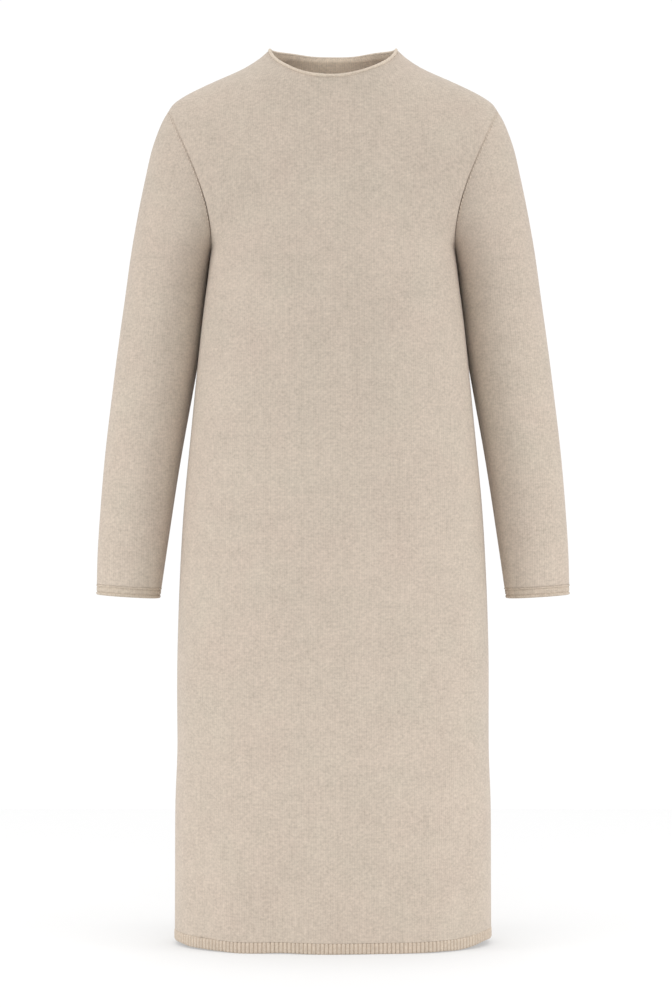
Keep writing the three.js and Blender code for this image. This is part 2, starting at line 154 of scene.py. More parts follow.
# %% Waves of the edges
HEM_WAVES = rows(
    "x width lift",
    (198, 24, 7.6), (-202, 22, 4.8), (-165, 26, 1.4), (-72, 16, 0.6), (-40, 16, 0.5),
    (140, 26, 1.0),
)
HEM_FADES = 60
FRONT_NECK_WAVES = rows(
    "x width lift",
    (50, 30, 2.6), (-60, 18, 1.2), (0, 60, 1.0),
)
BACK_NECK_WAVES = rows(
    "x width lift",
    (58, 20, 2.4), (-58, 20, 2.0), (0, 40, -1.1),
)
NECK_FADES = 26


# %% [markdown]
# A table is read on a smooth curve. A cubic through each pair of rows, with its slopes taken from the
# rows on each side, never swings past the shape as a high polynomial would, and numpy reads a whole
# column of places at once.


# %% Read a table
def column(table, name):
    """One column of a table, as an array."""
    return np.array([row[name] for row in table], float)


def read(table, key, value, at):
    """The table's column at any value of its key: a cubic Hermite curve with slopes from the
    neighbouring rows."""
    keys, values = column(table, key), column(table, value)
    if keys[0] > keys[-1]:
        keys, values = keys[::-1], values[::-1]
    slopes = np.empty_like(keys)
    slopes[1:-1] = (values[2:] - values[:-2]) / (keys[2:] - keys[:-2])
    slopes[0] = (values[1] - values[0]) / (keys[1] - keys[0])
    slopes[-1] = (values[-1] - values[-2]) / (keys[-1] - keys[-2])
    i = np.clip(np.searchsorted(keys, at) - 1, 0, len(keys) - 2)
    span = keys[i + 1] - keys[i]
    t = np.clip((at - keys[i]) / span, 0, 1)
    return (
        values[i] * (2 * t**3 - 3 * t**2 + 1)
        + values[i + 1] * (3 * t**2 - 2 * t**3)
        + slopes[i] * span * (t**3 - 2 * t**2 + t)
        + slopes[i + 1] * span * (t**3 - t**2)
    )


def unit(v):
    """Vectors scaled to length one, along the last axis."""
    return v / np.maximum(np.linalg.norm(v, axis=-1, keepdims=True), 1e-9)


def running_length(points, axis):
    """The length of the line from its start to each point, along one axis of a grid."""
    steps = np.linalg.norm(np.diff(points, axis=axis), axis=-1)
    return np.concatenate([np.zeros_like(np.take(steps, [0], axis)), np.cumsum(steps, axis)], axis)


def fold_rise(folds, x, z):
    """The sum of the folds at (x, z): rise times sin(pi t)^1.5 along the fold times a Gaussian across
    it."""
    total = np.zeros(np.broadcast(x, z).shape)
    for f in folds:
        run_x, run_z = f["foot_x"] - f["top_x"], f["foot_z"] - f["top_z"]
        length = np.hypot(run_x, run_z)
        t = np.clip(((x - f["top_x"]) * run_x + (z - f["top_z"]) * run_z) / length**2, 0, 1)
        off = ((x - f["top_x"]) * run_z - (z - f["top_z"]) * run_x) / length
        total += f["rise"] * np.sin(np.pi * t) ** 1.5 * np.exp(-((off / f["width"]) ** 2))
    return total


print("side seam half way down:", read(SIDE_SEAM, "z", "x", np.array([-640.0])).round(1), "mm")

# %% [markdown]
# The armhole is where two surfaces have to agree exactly. It is an oval in a plane that leans in towards
# the underarm, with its middle bowed towards the chest, as a set-in sleeve has it. The same function
# gives the edge of the panels and the edge of the sleeve, each half a gap to its own side, and it also
# says which way the wall goes in: that is what keeps the two walls from crossing where they turn back to
# back under the arm.


# %% The armhole's edge
def armhole_bow(angle):
    """The bow's depth, bow sin^2 (1 - skew cos), and its growth with the angle."""
    c, s = np.cos(angle), np.sin(angle)
    skewed = 1 - BOW_SKEW * c
    return BOW * s**2 * skewed, BOW * (2 * s * c * skewed + BOW_SKEW * s**3)


def armhole(angle, side):
    """Edge point and wall direction. The angle is 0 at the shoulder and pi at the underarm, and side is
    1 for the sleeve's edge and -1 for the panel's. Point: middle + half cos(angle) - depth sin(angle) y
    - bow x."""
    a = ARMHOLE
    half = np.array([a["top_x"] - a["foot_x"], 0, a["top_z"] - a["foot_z"]]) / 2
    middle = np.array([a["top_x"] + a["foot_x"], 0, a["top_z"] + a["foot_z"]]) / 2
    up, forward = unit(half), np.array([0.0, -1.0, 0.0])
    away = np.array([up[2], 0, -up[0]])
    c, s = np.cos(angle)[..., None], np.sin(angle)[..., None]
    right = np.array([1.0, 0, 0])
    depth, growth = armhole_bow(angle[..., None])
    at = middle + half * c + forward * a["half_depth"] * s - right * depth
    along = unit(-half * s + forward * a["half_depth"] * c - right * growth)
    lean = unit(up * c / np.linalg.norm(half) + forward * s / a["half_depth"]) + away * a["lean"] * (1 + c)
    lean = unit(lean - along * (lean * along).sum(-1, keepdims=True))
    outward = np.cross(along, lean)
    outward *= np.sign((outward * away).sum(-1, keepdims=True))
    at = at + outward * side * LINK_GAP / 2
    lean = unit(lean - outward * side * a["fold"] * ((1 - c) / 2) ** 4)
    return at, lean


top, _ = armhole(np.array([0.0, np.pi]), 1)
print("armhole from", top[0].round(1), "to", top[1].round(1))

# %% [markdown]
# A panel is knitted from the hem up, one course after another, so its surface is a function of two
# parameters: which course, and how far along it. Below the arms a course is level, an oval a little
# boxier than an ellipse. Above them it starts on the armhole, then on the shoulder seam, and dips in the
# middle, until the last one is the neckline. Each course is then measured with a tape: points are placed
# by the length of cloth between them, a few close to each seam, where the edge turns in, and the rest
# evenly.

# %% Stations of a panel
FRONT = dict(facing=-1, line=FRONT_LINE, folds=FRONT_FOLDS, creases=FRONT_CREASES, neck=FRONT_NECK_WAVES)
BACK = dict(facing=1, line=BACK_LINE, folds=BACK_FOLDS, creases=BACK_CREASES, neck=BACK_NECK_WAVES)
EDGE_STEPS = np.array([0, 0.35, 0.8, 1.4, 2.2, 3.2, 4.6])
ARMHOLE_SHARE = 12 / 18
SHOULDER_EASE = 1.9
FINE_STEPS = 481


def skirt_stations(panel, z):
    """Level courses: the edge is on the side seam and the middle is on the centre line, both at height
    z."""
    facing = panel["facing"]
    edge = np.stack([read(SIDE_SEAM, "z", "x", z), np.full_like(z, facing * LINK_GAP / 2), z], -1)
    return dict(
        edge=edge,
        lean=np.tile([1.0, 0, 0], (len(z), 1)),
        centre_z=z,
        centre_y=facing * read(panel["line"], "z", "depth", z),
        squareness=np.full_like(z, SQUARENESS),
        crown=np.ones_like(z),
    )


def upper_stations(panel, share):
    """Courses above the underarm. share is 0 there and 1 at the neck: the first two thirds end on the
    armhole, spaced by its angle, and the rest on the shoulder seam, crowded towards the sleeve head."""
    facing = panel["facing"]
    centre_z = ARMHOLE["foot_z"] + (panel["line"][-1]["z"] - ARMHOLE["foot_z"]) * share
    on_arm = share <= ARMHOLE_SHARE
    arm_at, arm_lean = armhole(np.pi * (1 - np.minimum(share / ARMHOLE_SHARE, 1)), -1)
    arm_at[:, 1] = facing * np.maximum(-arm_at[:, 1], LINK_GAP / 2)
    arm_lean[:, 1] *= -facing
    along = np.clip((share - ARMHOLE_SHARE) / (1 - ARMHOLE_SHARE), 0, 1) ** SHOULDER_EASE
    x = ARMHOLE["top_x"] + (SHOULDER_SEAM[0]["x"] - ARMHOLE["top_x"]) * along
    z = read(SHOULDER_SEAM, "x", "z", x)
    steep = (read(SHOULDER_SEAM, "x", "z", x + 0.5) - read(SHOULDER_SEAM, "x", "z", x - 0.5))
    seam_at = np.stack([x, np.full_like(x, facing * LINK_GAP / 2), z], -1)
    seam_lean = unit(np.stack([-steep, 0 * x, np.ones_like(x)], -1))
    return dict(
        edge=np.where(on_arm[:, None], arm_at, seam_at),
        lean=np.where(on_arm[:, None], arm_lean, seam_lean),
        centre_z=centre_z,
        centre_y=facing * read(panel["line"], "z", "depth", centre_z),
        squareness=read(UPPER_SHAPE, "place", "squareness", share),
        crown=read(UPPER_SHAPE, "place", "crown", share),
    )


def joined(a, b):
    """Two sets of stations, one above the other."""
    return {key: np.concatenate([a[key], b[key]]) for key in a}


# %% Courses of a panel
def course_points(panel, st, across):
    """Points at across (-1 to 1) on each course: x = edge x (cos a / cos a0)^p, y = centre y sin(a)^p,
    and z goes from the seam's height to the centre's with the crown's power. The folds lift it
    outwards."""
    edge = st["edge"][:, None, :]
    power = (2 / st["squareness"])[:, None]
    centre_y, centre_z = st["centre_y"][:, None], st["centre_z"][:, None]
    edge_sine = (edge[..., 1] / centre_y) ** (1 / power)
    edge_angle = np.arcsin(edge_sine)
    angle = np.pi / 2 + (edge_angle - np.pi / 2) * np.abs(across)
    sine = np.sin(angle)
    side = -panel["facing"] * np.sign(across)
    x = side * edge[..., 0] * (np.cos(angle).clip(0) / np.cos(edge_angle)) ** power
    y = centre_y * sine**power
    share = np.maximum(0, (sine - edge_sine) / (1 - edge_sine))
    z = edge[..., 2] + (centre_z - edge[..., 2]) * share ** st["crown"][:, None]
    out = unit(np.stack([x / edge[..., 0] ** 2, y / centre_y**2, 0 * x], -1))
    return np.stack([x, y, z], -1) + out * fold_rise(panel["folds"], x, z)[..., None]


def tape_positions(length, columns):
    """Places along each course: the edge steps at both ends, and even steps between them."""
    length = length[:, None]
    middle = np.linspace(0, 1, columns)[None, :]
    inner = EDGE_STEPS[-1] + (length - 2 * EDGE_STEPS[-1]) * middle
    return np.concatenate([EDGE_STEPS[:-1] + 0 * length, inner, (length - EDGE_STEPS[:-1][::-1])], 1)


def measured_courses(panel, st, columns):
    """The panel's grid, rows up and columns along the tape, with the tape's reading from the centre
    line and the distance to the nearer seam."""
    fine = np.linspace(-1, 1, FINE_STEPS)[None, :]
    points = course_points(panel, st, np.repeat(fine, len(st["crown"]), 0))
    tape = running_length(points, 1)
    wanted = tape_positions(tape[:, -1], columns)
    across = np.stack([np.interp(w, t, fine[0]) for w, t in zip(wanted, tape)])
    grid = course_points(panel, st, across)
    return grid, wanted - tape[:, -1:] / 2, np.minimum(wanted, tape[:, -1:] - wanted)


# %% [markdown]
# Knitted cloth is thick, so each surface gets an inner face one wall behind it. The Solidify modifier
# could do that, but at the seams the wall has to follow the direction that the armhole gives, so the
# inner face is worked out with the outer one: a normal from the differences between neighbours, blended
# into the seam's own direction in the last few millimetres.


# %% Walls
def wave_lift(waves, grid, distance, fades):
    """How far an edge swings up: a sum of Gaussians across it, fading out at a distance from the edge."""
    total = sum(w["lift"] * np.exp(-(((grid[..., 0] - w["x"]) / w["width"]) ** 2)) for w in waves)
    return total * np.exp(-((distance / fades) ** 2))


def hem_lift(grid):
    """The lift of the hem, over the panels and the rib alike."""
    return wave_lift(HEM_WAVES, grid, grid[..., 2] - HEM_Z, HEM_FADES)


def grid_normals(grid, closed):
    """Outward normals: the difference along the course crossed with the difference up the panel."""
    if closed:
        across = np.roll(grid, -1, 1) - np.roll(grid, 1, 1)
    else:
        across = np.gradient(grid, axis=1)
    return unit(np.cross(across, np.gradient(grid, axis=0)))


def strip_faces(rows, columns, closed):
    """Quads of a grid as index arrays: vertex numbers, and corner numbers that don't wrap round a tube."""
    i, j = np.meshgrid(np.arange(rows - 1), np.arange(columns if closed else columns - 1), indexing="ij")
    i, j = i.ravel(), j.ravel()
    wrap = columns if closed else columns + 1
    vertex = np.stack([i * columns + j, i * columns + (j + 1) % wrap, (i + 1) * columns + (j + 1) % wrap,
                       (i + 1) * columns + j], -1)
    width = columns + 1 if closed else columns
    corner = np.stack([i * width + j, i * width + j + 1, (i + 1) * width + j + 1, (i + 1) * width + j], -1)
    return vertex, corner


def rim(outer_line, inner_line):
    """Quads that close the wall between an edge of the outer face and the same edge of the inner one."""
    return np.stack([outer_line[:-1], inner_line[:-1], inner_line[1:], outer_line[1:]], -1)


def mesh_object(name, points, faces, corner_uv, material):
    """A mesh from arrays, in metres, with its own UV map in metres of cloth, smooth, riding on the
    body."""
    mesh = bpy.data.meshes.new(name)
    mesh.vertices.add(len(points))
    mesh.vertices.foreach_set("co", (points * MM).astype(np.float32).ravel())
    mesh.loops.add(faces.size)
    mesh.loops.foreach_set("vertex_index", faces.astype(np.int32).ravel())
    mesh.polygons.add(len(faces))
    mesh.polygons.foreach_set("loop_start", np.arange(0, faces.size, faces.shape[1], dtype=np.int32))
    mesh.update(calc_edges=True)
    mesh.polygons.foreach_set("use_smooth", np.ones(len(faces), bool))
    uv_map = mesh.uv_layers.new(name="cloth")
    uv_map.data.foreach_set("uv", (corner_uv * MM).astype(np.float32).ravel())
    mesh.validate()
    obj = bpy.data.objects.new(name, mesh)
    bpy.context.scene.collection.objects.link(obj)
    obj.data.materials.append(material)
    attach(obj, "root")
    return obj


def wall_object(name, outer, inner, uv, material, closed=False):
    """A wall of cloth from two grids. uv has one column more than the grids where the wall is a closed
    tube. The inner face of the knit shows its reverse, a little paler as the purl side is, and paler still as
    painted light."""
    rows, columns = outer.shape[:2]
    count = rows * columns
    quads, corners = strip_faces(rows, columns, closed)
    index = np.arange(count).reshape(rows, columns)
    numbers = np.arange(uv[..., 0].size).reshape(uv.shape[:2])
    if closed:
        index = np.concatenate([index, index[:, :1]], 1)
    edges = [(index[0], numbers[0]), (index[-1][::-1], numbers[-1][::-1])]
    if not closed:
        edges += [(index[::-1, 0], numbers[::-1, 0]), (index[:, -1], numbers[:, -1])]
    faces = [quads, (quads + count)[:, [0, 3, 2, 1]]]
    uv_index = [corners, corners[:, [0, 3, 2, 1]]]
    for line, number in edges:
        faces.append(rim(line, line + count))
        uv_index.append(rim(number, number))
    points = np.concatenate([outer.reshape(-1, 3), inner.reshape(-1, 3)])
    corner_uv = uv.reshape(-1, 2)[np.concatenate(uv_index).ravel()]
    obj = mesh_object(name, points, np.concatenate(faces), corner_uv, material)
    # The inner faces get the reverse tint: partly the purl side's own colour, mostly painted light.
    if material is KNIT:
        obj.data.materials.append(REVERSE_PAINTED_LIGHT)
        number = np.zeros(len(obj.data.polygons), np.int32)
        number[len(quads):2 * len(quads)] = 1
        obj.data.polygons.foreach_set("material_index", number)
    return obj


# %% [markdown]
# The material comes before the pieces that wear it. The wool is a melange: fibres dyed in a few near
# shades and spun together, so the colour changes a little from stitch to stitch and drifts in soft
# clouds. It is felted, so the stitches are only just there, under a nap that scatters light at the edges
# of the form. Three things give that: layers of noise, the flecks stretched across the wales, for the
# colour; rows of small chevrons from a few waves for the stitches; and the shader's sheen for the nap.
# Sheen and roughness stay plain numbers on the shader, because a number that never changes needs no node.
# The yarn is one, but it doesn't look the same all over: the rolled edges and the rib are pulled tighter,
# the rib's furrows are darkened as painted shade, the neck roll is paler as painted light, and the inside
# of the panels shows the reverse of the knit, a little paler as the purl side is, and paler still as
# painted light where little light gets in.

# %% Node helpers
WALE = 3.0 * MM
COURSE = 2.2 * MM


def sheet_of_nodes(name):
    """A new material, its node tree, and its shader and output."""
    material = bpy.data.materials.new(name)
    material.use_nodes = True
    tree = material.node_tree
    shader = tree.nodes["Principled BSDF"]
    return material, tree, shader


def maths(tree, operation, a, b=None, c=None):
    """One Math node. a, b and c are sockets or numbers."""
    node = tree.nodes.new("ShaderNodeMath")
    node.operation = operation
    for socket, value in zip(node.inputs, (a, b, c)):
        if value is None:
            continue
        if isinstance(value, (int, float)):
            socket.default_value = value
        else:
            tree.links.new(value, socket)
    return node.outputs[0]


def noise(tree, vector, scale, detail=2.0, roughness=0.5, stretch=None):
    """A Noise Texture on a vector socket, stretched by its own Mapping node where stretch is given."""
    if stretch is not None:
        mapping = tree.nodes.new("ShaderNodeMapping")
        mapping.inputs["Scale"].default_value = stretch
        tree.links.new(vector, mapping.inputs["Vector"])
        vector = mapping.outputs["Vector"]
    node = tree.nodes.new("ShaderNodeTexNoise")
    node.inputs["Scale"].default_value = scale
    node.inputs["Detail"].default_value = detail
    node.inputs["Roughness"].default_value = roughness
    tree.links.new(vector, node.inputs["Vector"])
    return node.outputs["Fac"]


def layered(tree, layers):
    """The sum of (socket, weight) layers."""
    total = maths(tree, "MULTIPLY", *layers[0])
    for socket, weight in layers[1:]:
        total = maths(tree, "MULTIPLY_ADD", socket, weight, total)
    return total


def ramp(tree, factor, stops):
    """A Color Ramp with the given (position, colour) stops."""
    node = tree.nodes.new("ShaderNodeValToRGB")
    elements = node.color_ramp.elements
    while len(elements) < len(stops):
        elements.new(0.5)
    for element, (position, colour) in zip(elements, stops):
        element.position = position
        element.color = (*colour, 1)
    tree.links.new(factor, node.inputs["Fac"])
    return node.outputs["Color"]


def mixed(tree, factor, a, b, blend="MIX"):
    """A colour Mix node. The factor, a and b are sockets, numbers or colours."""
    node = tree.nodes.new("ShaderNodeMix")
    node.data_type = "RGBA"
    node.blend_type = blend
    for key, value in (("Factor_Float", factor), ("A_Color", a), ("B_Color", b)):
        socket = next(s for s in node.inputs if s.identifier == key)
        if isinstance(value, (int, float)):
            socket.default_value = value
        elif isinstance(value, tuple):
            socket.default_value = (*value, 1)
        else:
            tree.links.new(value, socket)
    return next(s for s in node.outputs if s.identifier == "Result_Color")


# %% The wool
MELANGE = rows(
    "on scale roughness stretch weight",
    ("place", 22, 0.5, None, 0.12),
    ("cloth", 90, 0.5, None, 0.19),
    ("cloth", 330, 0.6, (0.75, 1, 1), 0.47),
    ("place", 900, 0.7, None, 0.22),
)
STITCH_WEIGHT = 0.08
STITCH_MEAN = 0.48
SHADE_SPREAD = 0.17
DARK_FIBRE = 0.78
PALE_FIBRE = 1.2
HUE_SCALE = 14
COOL = (0.98, 1.01, 1.0)
WARM = (1.024, 0.986, 0.99)
# Painted shade: this factor darkens the rib's colour in its furrows, where shade falls.
FURROW_PAINTED_SHADE = (0.88, 0.84, 0.8)
BUMP_HEIGHT = 0.5 * MM


def linear(red, green, blue):
    """A colour from 0 to 255 as a screen shows it, in the linear light that shaders use."""
    value = np.array([red, green, blue]) / 255
    return tuple(np.where(value < 0.04045, value / 12.92, ((value + 0.055) / 1.055) ** 2.4).tolist())


def stitch_pattern(tree, u, v, wale, course):
    """Rows of chevrons: sin(pi a) (0.75 + 0.25 cos 2 pi (v / course + |a - 0.5|)), where a is the
    fraction of u / wale."""
    across = maths(tree, "FRACT", maths(tree, "DIVIDE", u, wale))
    from_middle = maths(tree, "ABSOLUTE", maths(tree, "SUBTRACT", across, 0.5))
    bulge = maths(tree, "SINE", maths(tree, "MULTIPLY", across, float(np.pi)))
    rise = maths(tree, "ADD", maths(tree, "DIVIDE", v, course), from_middle)
    chevron = maths(tree, "COSINE", maths(tree, "MULTIPLY", rise, float(2 * np.pi)))
    return maths(tree, "MULTIPLY", bulge, maths(tree, "MULTIPLY_ADD", chevron, 0.25, 0.75))


def melange(tree, maps, stitches, tint):
    """The tint, darker or paler with the sum of the layers, times a hue that drifts slowly."""
    layers = []
    for k in MELANGE:
        layers.append((noise(tree, maps[k["on"]], k["scale"], 2, k["roughness"], k["stretch"]), k["weight"]))
    shade = layered(tree, layers + [(stitches, STITCH_WEIGHT)])
    middle = 0.5 * sum(weight for _, weight in layers) + STITCH_MEAN * STITCH_WEIGHT
    low, high = tuple(c * DARK_FIBRE for c in tint), tuple(min(1.0, c * PALE_FIBRE) for c in tint)
    colour = ramp(tree, shade, [(middle - SHADE_SPREAD, low), (middle, tint), (middle + SHADE_SPREAD, high)])
    hue = mixed(tree, noise(tree, maps["place"], HUE_SCALE, 3, 0.6), COOL, WARM)
    return mixed(tree, 1.0, colour, hue, "MULTIPLY")


def with_painted_furrow_shade(tree, colour, u, pitch, tint):
    """The colour of a rib with painted shade: darker by 1 - |sin(pi u / pitch)|^0.8 in its furrows,
    where shade falls."""
    wave = maths(tree, "SINE", maths(tree, "MULTIPLY", u, float(np.pi / pitch)))
    painted_furrow_shade_amount = maths(tree, "SUBTRACT", 1.0, maths(tree, "POWER", maths(tree, "ABSOLUTE", wave), 0.8))
    return mixed(tree, painted_furrow_shade_amount, colour, tuple(c * k for c, k in zip(tint, FURROW_PAINTED_SHADE)))


def felted(tree, shader, maps, stitches, stitch_height):
    """Stitches, lumps and fuzz as bump, and the shader's own numbers for a dry nap that scatters light."""
    fuzz = noise(tree, maps["place"], 1300, 3, 0.7)
    lumps = noise(tree, maps["cloth"], 300, 2, 0.6)
    bump = tree.nodes.new("ShaderNodeBump")
    bump.inputs["Strength"].default_value = 0.5
    bump.inputs["Distance"].default_value = BUMP_HEIGHT
    height = layered(tree, [(stitches, stitch_height), (fuzz, 0.5), (lumps, 0.5)])
    tree.links.new(height, bump.inputs["Height"])
    tree.links.new(bump.outputs["Normal"], shader.inputs["Normal"])
    shader.inputs["Roughness"].default_value = 0.95
    shader.inputs["Specular IOR Level"].default_value = 0.15
    shader.inputs["Sheen Weight"].default_value = 0.2
    shader.inputs["Sheen Roughness"].default_value = 0.5
    shader.inputs["Sheen Tint"].default_value = (1.0, 0.98, 0.95, 1)


def wool(name, tint, stitch_height=0.35, wale=WALE, furrows=None):
    """Felted melange wool on the cloth's own UV map. furrows is the pitch of a rib, whose furrows get painted
    shade.
    """
    material, tree, shader = sheet_of_nodes(name)
    cloth = tree.nodes.new("ShaderNodeUVMap")
    cloth.uv_map = "cloth"
    maps = dict(cloth=cloth.outputs["UV"], place=tree.nodes.new("ShaderNodeTexCoord").outputs["Object"])
    split = tree.nodes.new("ShaderNodeSeparateXYZ")
    tree.links.new(maps["cloth"], split.inputs["Vector"])
    u, v = split.outputs["X"], split.outputs["Y"]
    stitches = stitch_pattern(tree, u, v, wale, COURSE)
    colour = melange(tree, maps, stitches, tint)
    # A rib gets painted shade in its furrows.
    if furrows:
        colour = with_painted_furrow_shade(tree, colour, u, furrows, tint)
    tree.links.new(colour, shader.inputs["Base Color"])
    felted(tree, shader, maps, stitches, stitch_height)
    return material


# %% The yarns
KNIT = wool("oatmeal_melange_knit", linear(192, 179, 165))
# The rib's yarn carries painted shade in its furrows.
RIB = wool("oatmeal_melange_rib_painted_furrow_shade", linear(198, 184, 168), wale=RIB_PITCH / 2 * MM, furrows=RIB_PITCH * MM)
EDGE = wool("oatmeal_melange_edge", linear(191, 177, 161), stitch_height=0.5)
# Painted light: the neck roll's tint is paler than the knit's, standing in for the light that falls on its
# top.
ROLL_PAINTED_LIGHT = wool("oatmeal_melange_roll_painted_light", linear(208, 194, 177), stitch_height=0.5)
# Painted light: the reverse tint is well paler than the knit, lighting the inside of the dress, on top of the
# purl side's own paler colour.
REVERSE_PAINTED_LIGHT = wool("oatmeal_melange_reverse_painted_light", linear(225, 208, 188), stitch_height=0.6)
LINKING = wool("oatmeal_linking_yarn", linear(206, 193, 178), stitch_height=0.2)
print("materials:", [m.name for m in (KNIT, RIB, EDGE, ROLL_PAINTED_LIGHT, REVERSE_PAINTED_LIGHT, LINKING)])

# %% [markdown]
# Now the front and the back. Near a seam the outer face sinks by about a millimetre, which is all that a
# linked seam in felted wool shows: a soft line, with the cloth a little rounded on each side. The courses
# are closer together where the shape changes quickly, at the underarm and at the neck.

# %% Front and back panels
SKIRT_COURSES = 78
ARM_COURSES = 46
SHOULDER_COURSES = 24
COURSE_CROWDING = 1.4
PANEL_COLUMNS = 190
SEAM_SOFTNESS = 1.4
LEAN_REACH = 6.0
SIDE_DIP = 0.45
SEAM_DIPS = rows(
    "place dip",
    (0, SIDE_DIP), (0.08, 0.75), (0.55, 0.7), (0.66, 0.3), (1, 0.3),
)
NECK_LIP = 2.4
NECK_THICKER = 0.5
NECK_REACH = 6
COLLAR_HEIGHT = 25.0
COLLAR_LINE = dict(depth=0.7, width=2.2, half=62)
SHOULDER_SMOOTHING = 14
SHOULDER_REACH = 5
SMOOTH_FROM_SEAM = 10


def panel_stations(panel):
    """All the courses of a panel, from just above the rib to the neckline."""
    low = HEM_Z + RIB_HEIGHT + LINK_GAP
    start = low + EDGE_STEPS[:-1]
    share = 1 - (1 - np.linspace(0, 1, SKIRT_COURSES, endpoint=False)) ** COURSE_CROWDING
    rest = low + EDGE_STEPS[-1] + (ARMHOLE["foot_z"] - low - EDGE_STEPS[-1]) * share
    skirt = skirt_stations(panel, np.concatenate([start, rest]))
    skirt["dip"] = np.full_like(skirt["crown"], SIDE_DIP)
    arm = np.linspace(0, ARMHOLE_SHARE, ARM_COURSES, endpoint=False)
    shoulder = ARMHOLE_SHARE + (1 - ARMHOLE_SHARE) * np.linspace(0, 1, SHOULDER_COURSES)
    share = np.concatenate([arm, shoulder])
    upper = upper_stations(panel, share)
    upper["dip"] = read(SEAM_DIPS, "place", "dip", share)
    return joined(skirt, upper)


def eased(grid, to_seam, middle, reach):
    """The grid with its columns smoothed near one row, except at the seams: a few steps towards the
    mean of the neighbours, weighted by a Gaussian round that row."""
    row = np.arange(1, len(grid) - 1)[:, None]
    weight = np.exp(-(((row - middle) / reach) ** 2)) * np.clip((to_seam[1:-1] - 1) / SMOOTH_FROM_SEAM, 0, 1)
    grid = grid.copy()
    for _ in range(SHOULDER_SMOOTHING):
        mean = (grid[2:] + grid[:-2]) / 2
        grid[1:-1] += 0.5 * weight[..., None] * (mean - grid[1:-1])
    return grid


def panel_surface(panel, st, columns):
    """Outer and inner grid and UV of a panel. The seams dip by dip exp(-(d / softness)^2) at distance
    d, and the wall thickens a little towards the neck and stands up behind the roll."""
    grid, tape, to_seam = measured_courses(panel, st, columns)
    grid = eased(grid, to_seam, len(grid) - SHOULDER_COURSES, SHOULDER_REACH)
    normal = grid_normals(grid, False)
    grid = grid + normal * fold_rise(panel["creases"], grid[..., 0], grid[..., 2])[..., None]
    normal = grid_normals(grid, False)
    lean = np.repeat(st["lean"][:, None, :], grid.shape[1], 1)
    lean[..., 0] *= np.sign(grid[..., 0])
    weight = np.exp(-((to_seam / LEAN_REACH) ** 2))[..., None]
    into = unit(lean * weight + normal * (1 - weight))
    climb = running_length(grid, 0)
    to_edge = climb[-1] - climb
    inner = grid - into * (WALL + NECK_THICKER * np.exp(-((to_edge / NECK_REACH) ** 2)))[..., None]
    inner[-1] += NECK_LIP * unit(grid[-1] - grid[-4])
    dip = st["dip"][:, None] * np.exp(-((to_seam / SEAM_SOFTNESS) ** 2)) + collar_dip(grid, to_edge)
    outer = grid - into * dip[..., None]
    lift = hem_lift(grid) + wave_lift(panel["neck"], grid, to_edge, NECK_FADES)
    outer[..., 2] += lift
    inner[..., 2] += lift
    middle = climb[:, [climb.shape[1] // 2]]
    return outer, inner, np.stack([tape, 0.5 * climb + 0.5 * middle], -1)


def collar_dip(grid, to_edge):
    """The soft line at the foot of the collar, one collar's height below the edge, fading out to the
    sides."""
    line = COLLAR_LINE
    across = np.exp(-((grid[..., 0] / line["half"]) ** 4))
    return line["depth"] * across * np.exp(-(((to_edge - COLLAR_HEIGHT) / line["width"]) ** 2))


def cloth_area(grid):
    """The area of a grid's quads in square metres, from half the cross product of their diagonals."""
    a = grid[1:, 1:] - grid[:-1, :-1]
    b = grid[1:, :-1] - grid[:-1, 1:]
    return float(np.linalg.norm(np.cross(a, b), axis=-1).sum() / 2 * MM * MM)


def make_panel(panel, name, node):
    """A panel, the piece that the machine knits, with its size laid flat and its area printed."""
    st = panel_stations(panel)
    outer, inner, uv = panel_surface(panel, st, PANEL_COLUMNS)
    obj = wall_object(name, outer, inner, uv, KNIT)
    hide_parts(node)
    width = float(np.ptp(uv[..., 0], axis=1).max() * MM)
    length = float(uv[..., 1].max() * MM)
    print(name, "is", round(width, 3), "by", round(length, 3), "m, area", round(cloth_area(outer), 3))
    return obj


front = make_panel(FRONT, "knit_front", "front_panel")
back = make_panel(BACK, "knit_back", "back_panel")

# %% [markdown]
# A sleeve is a tube, so its two parameters are how far down it a ring lies and the angle round it. The
# table holds the outer and the inner line that the front view shows, half the depth, and how far the arm
# swings back at the elbow. Where the sleeve hangs against the body its inner side goes flat along it. An
# arm bends and cloth gathers in the bend, so a few shallow creases cross the inside of the elbow and ring
# the forearm, none of them all the way round.

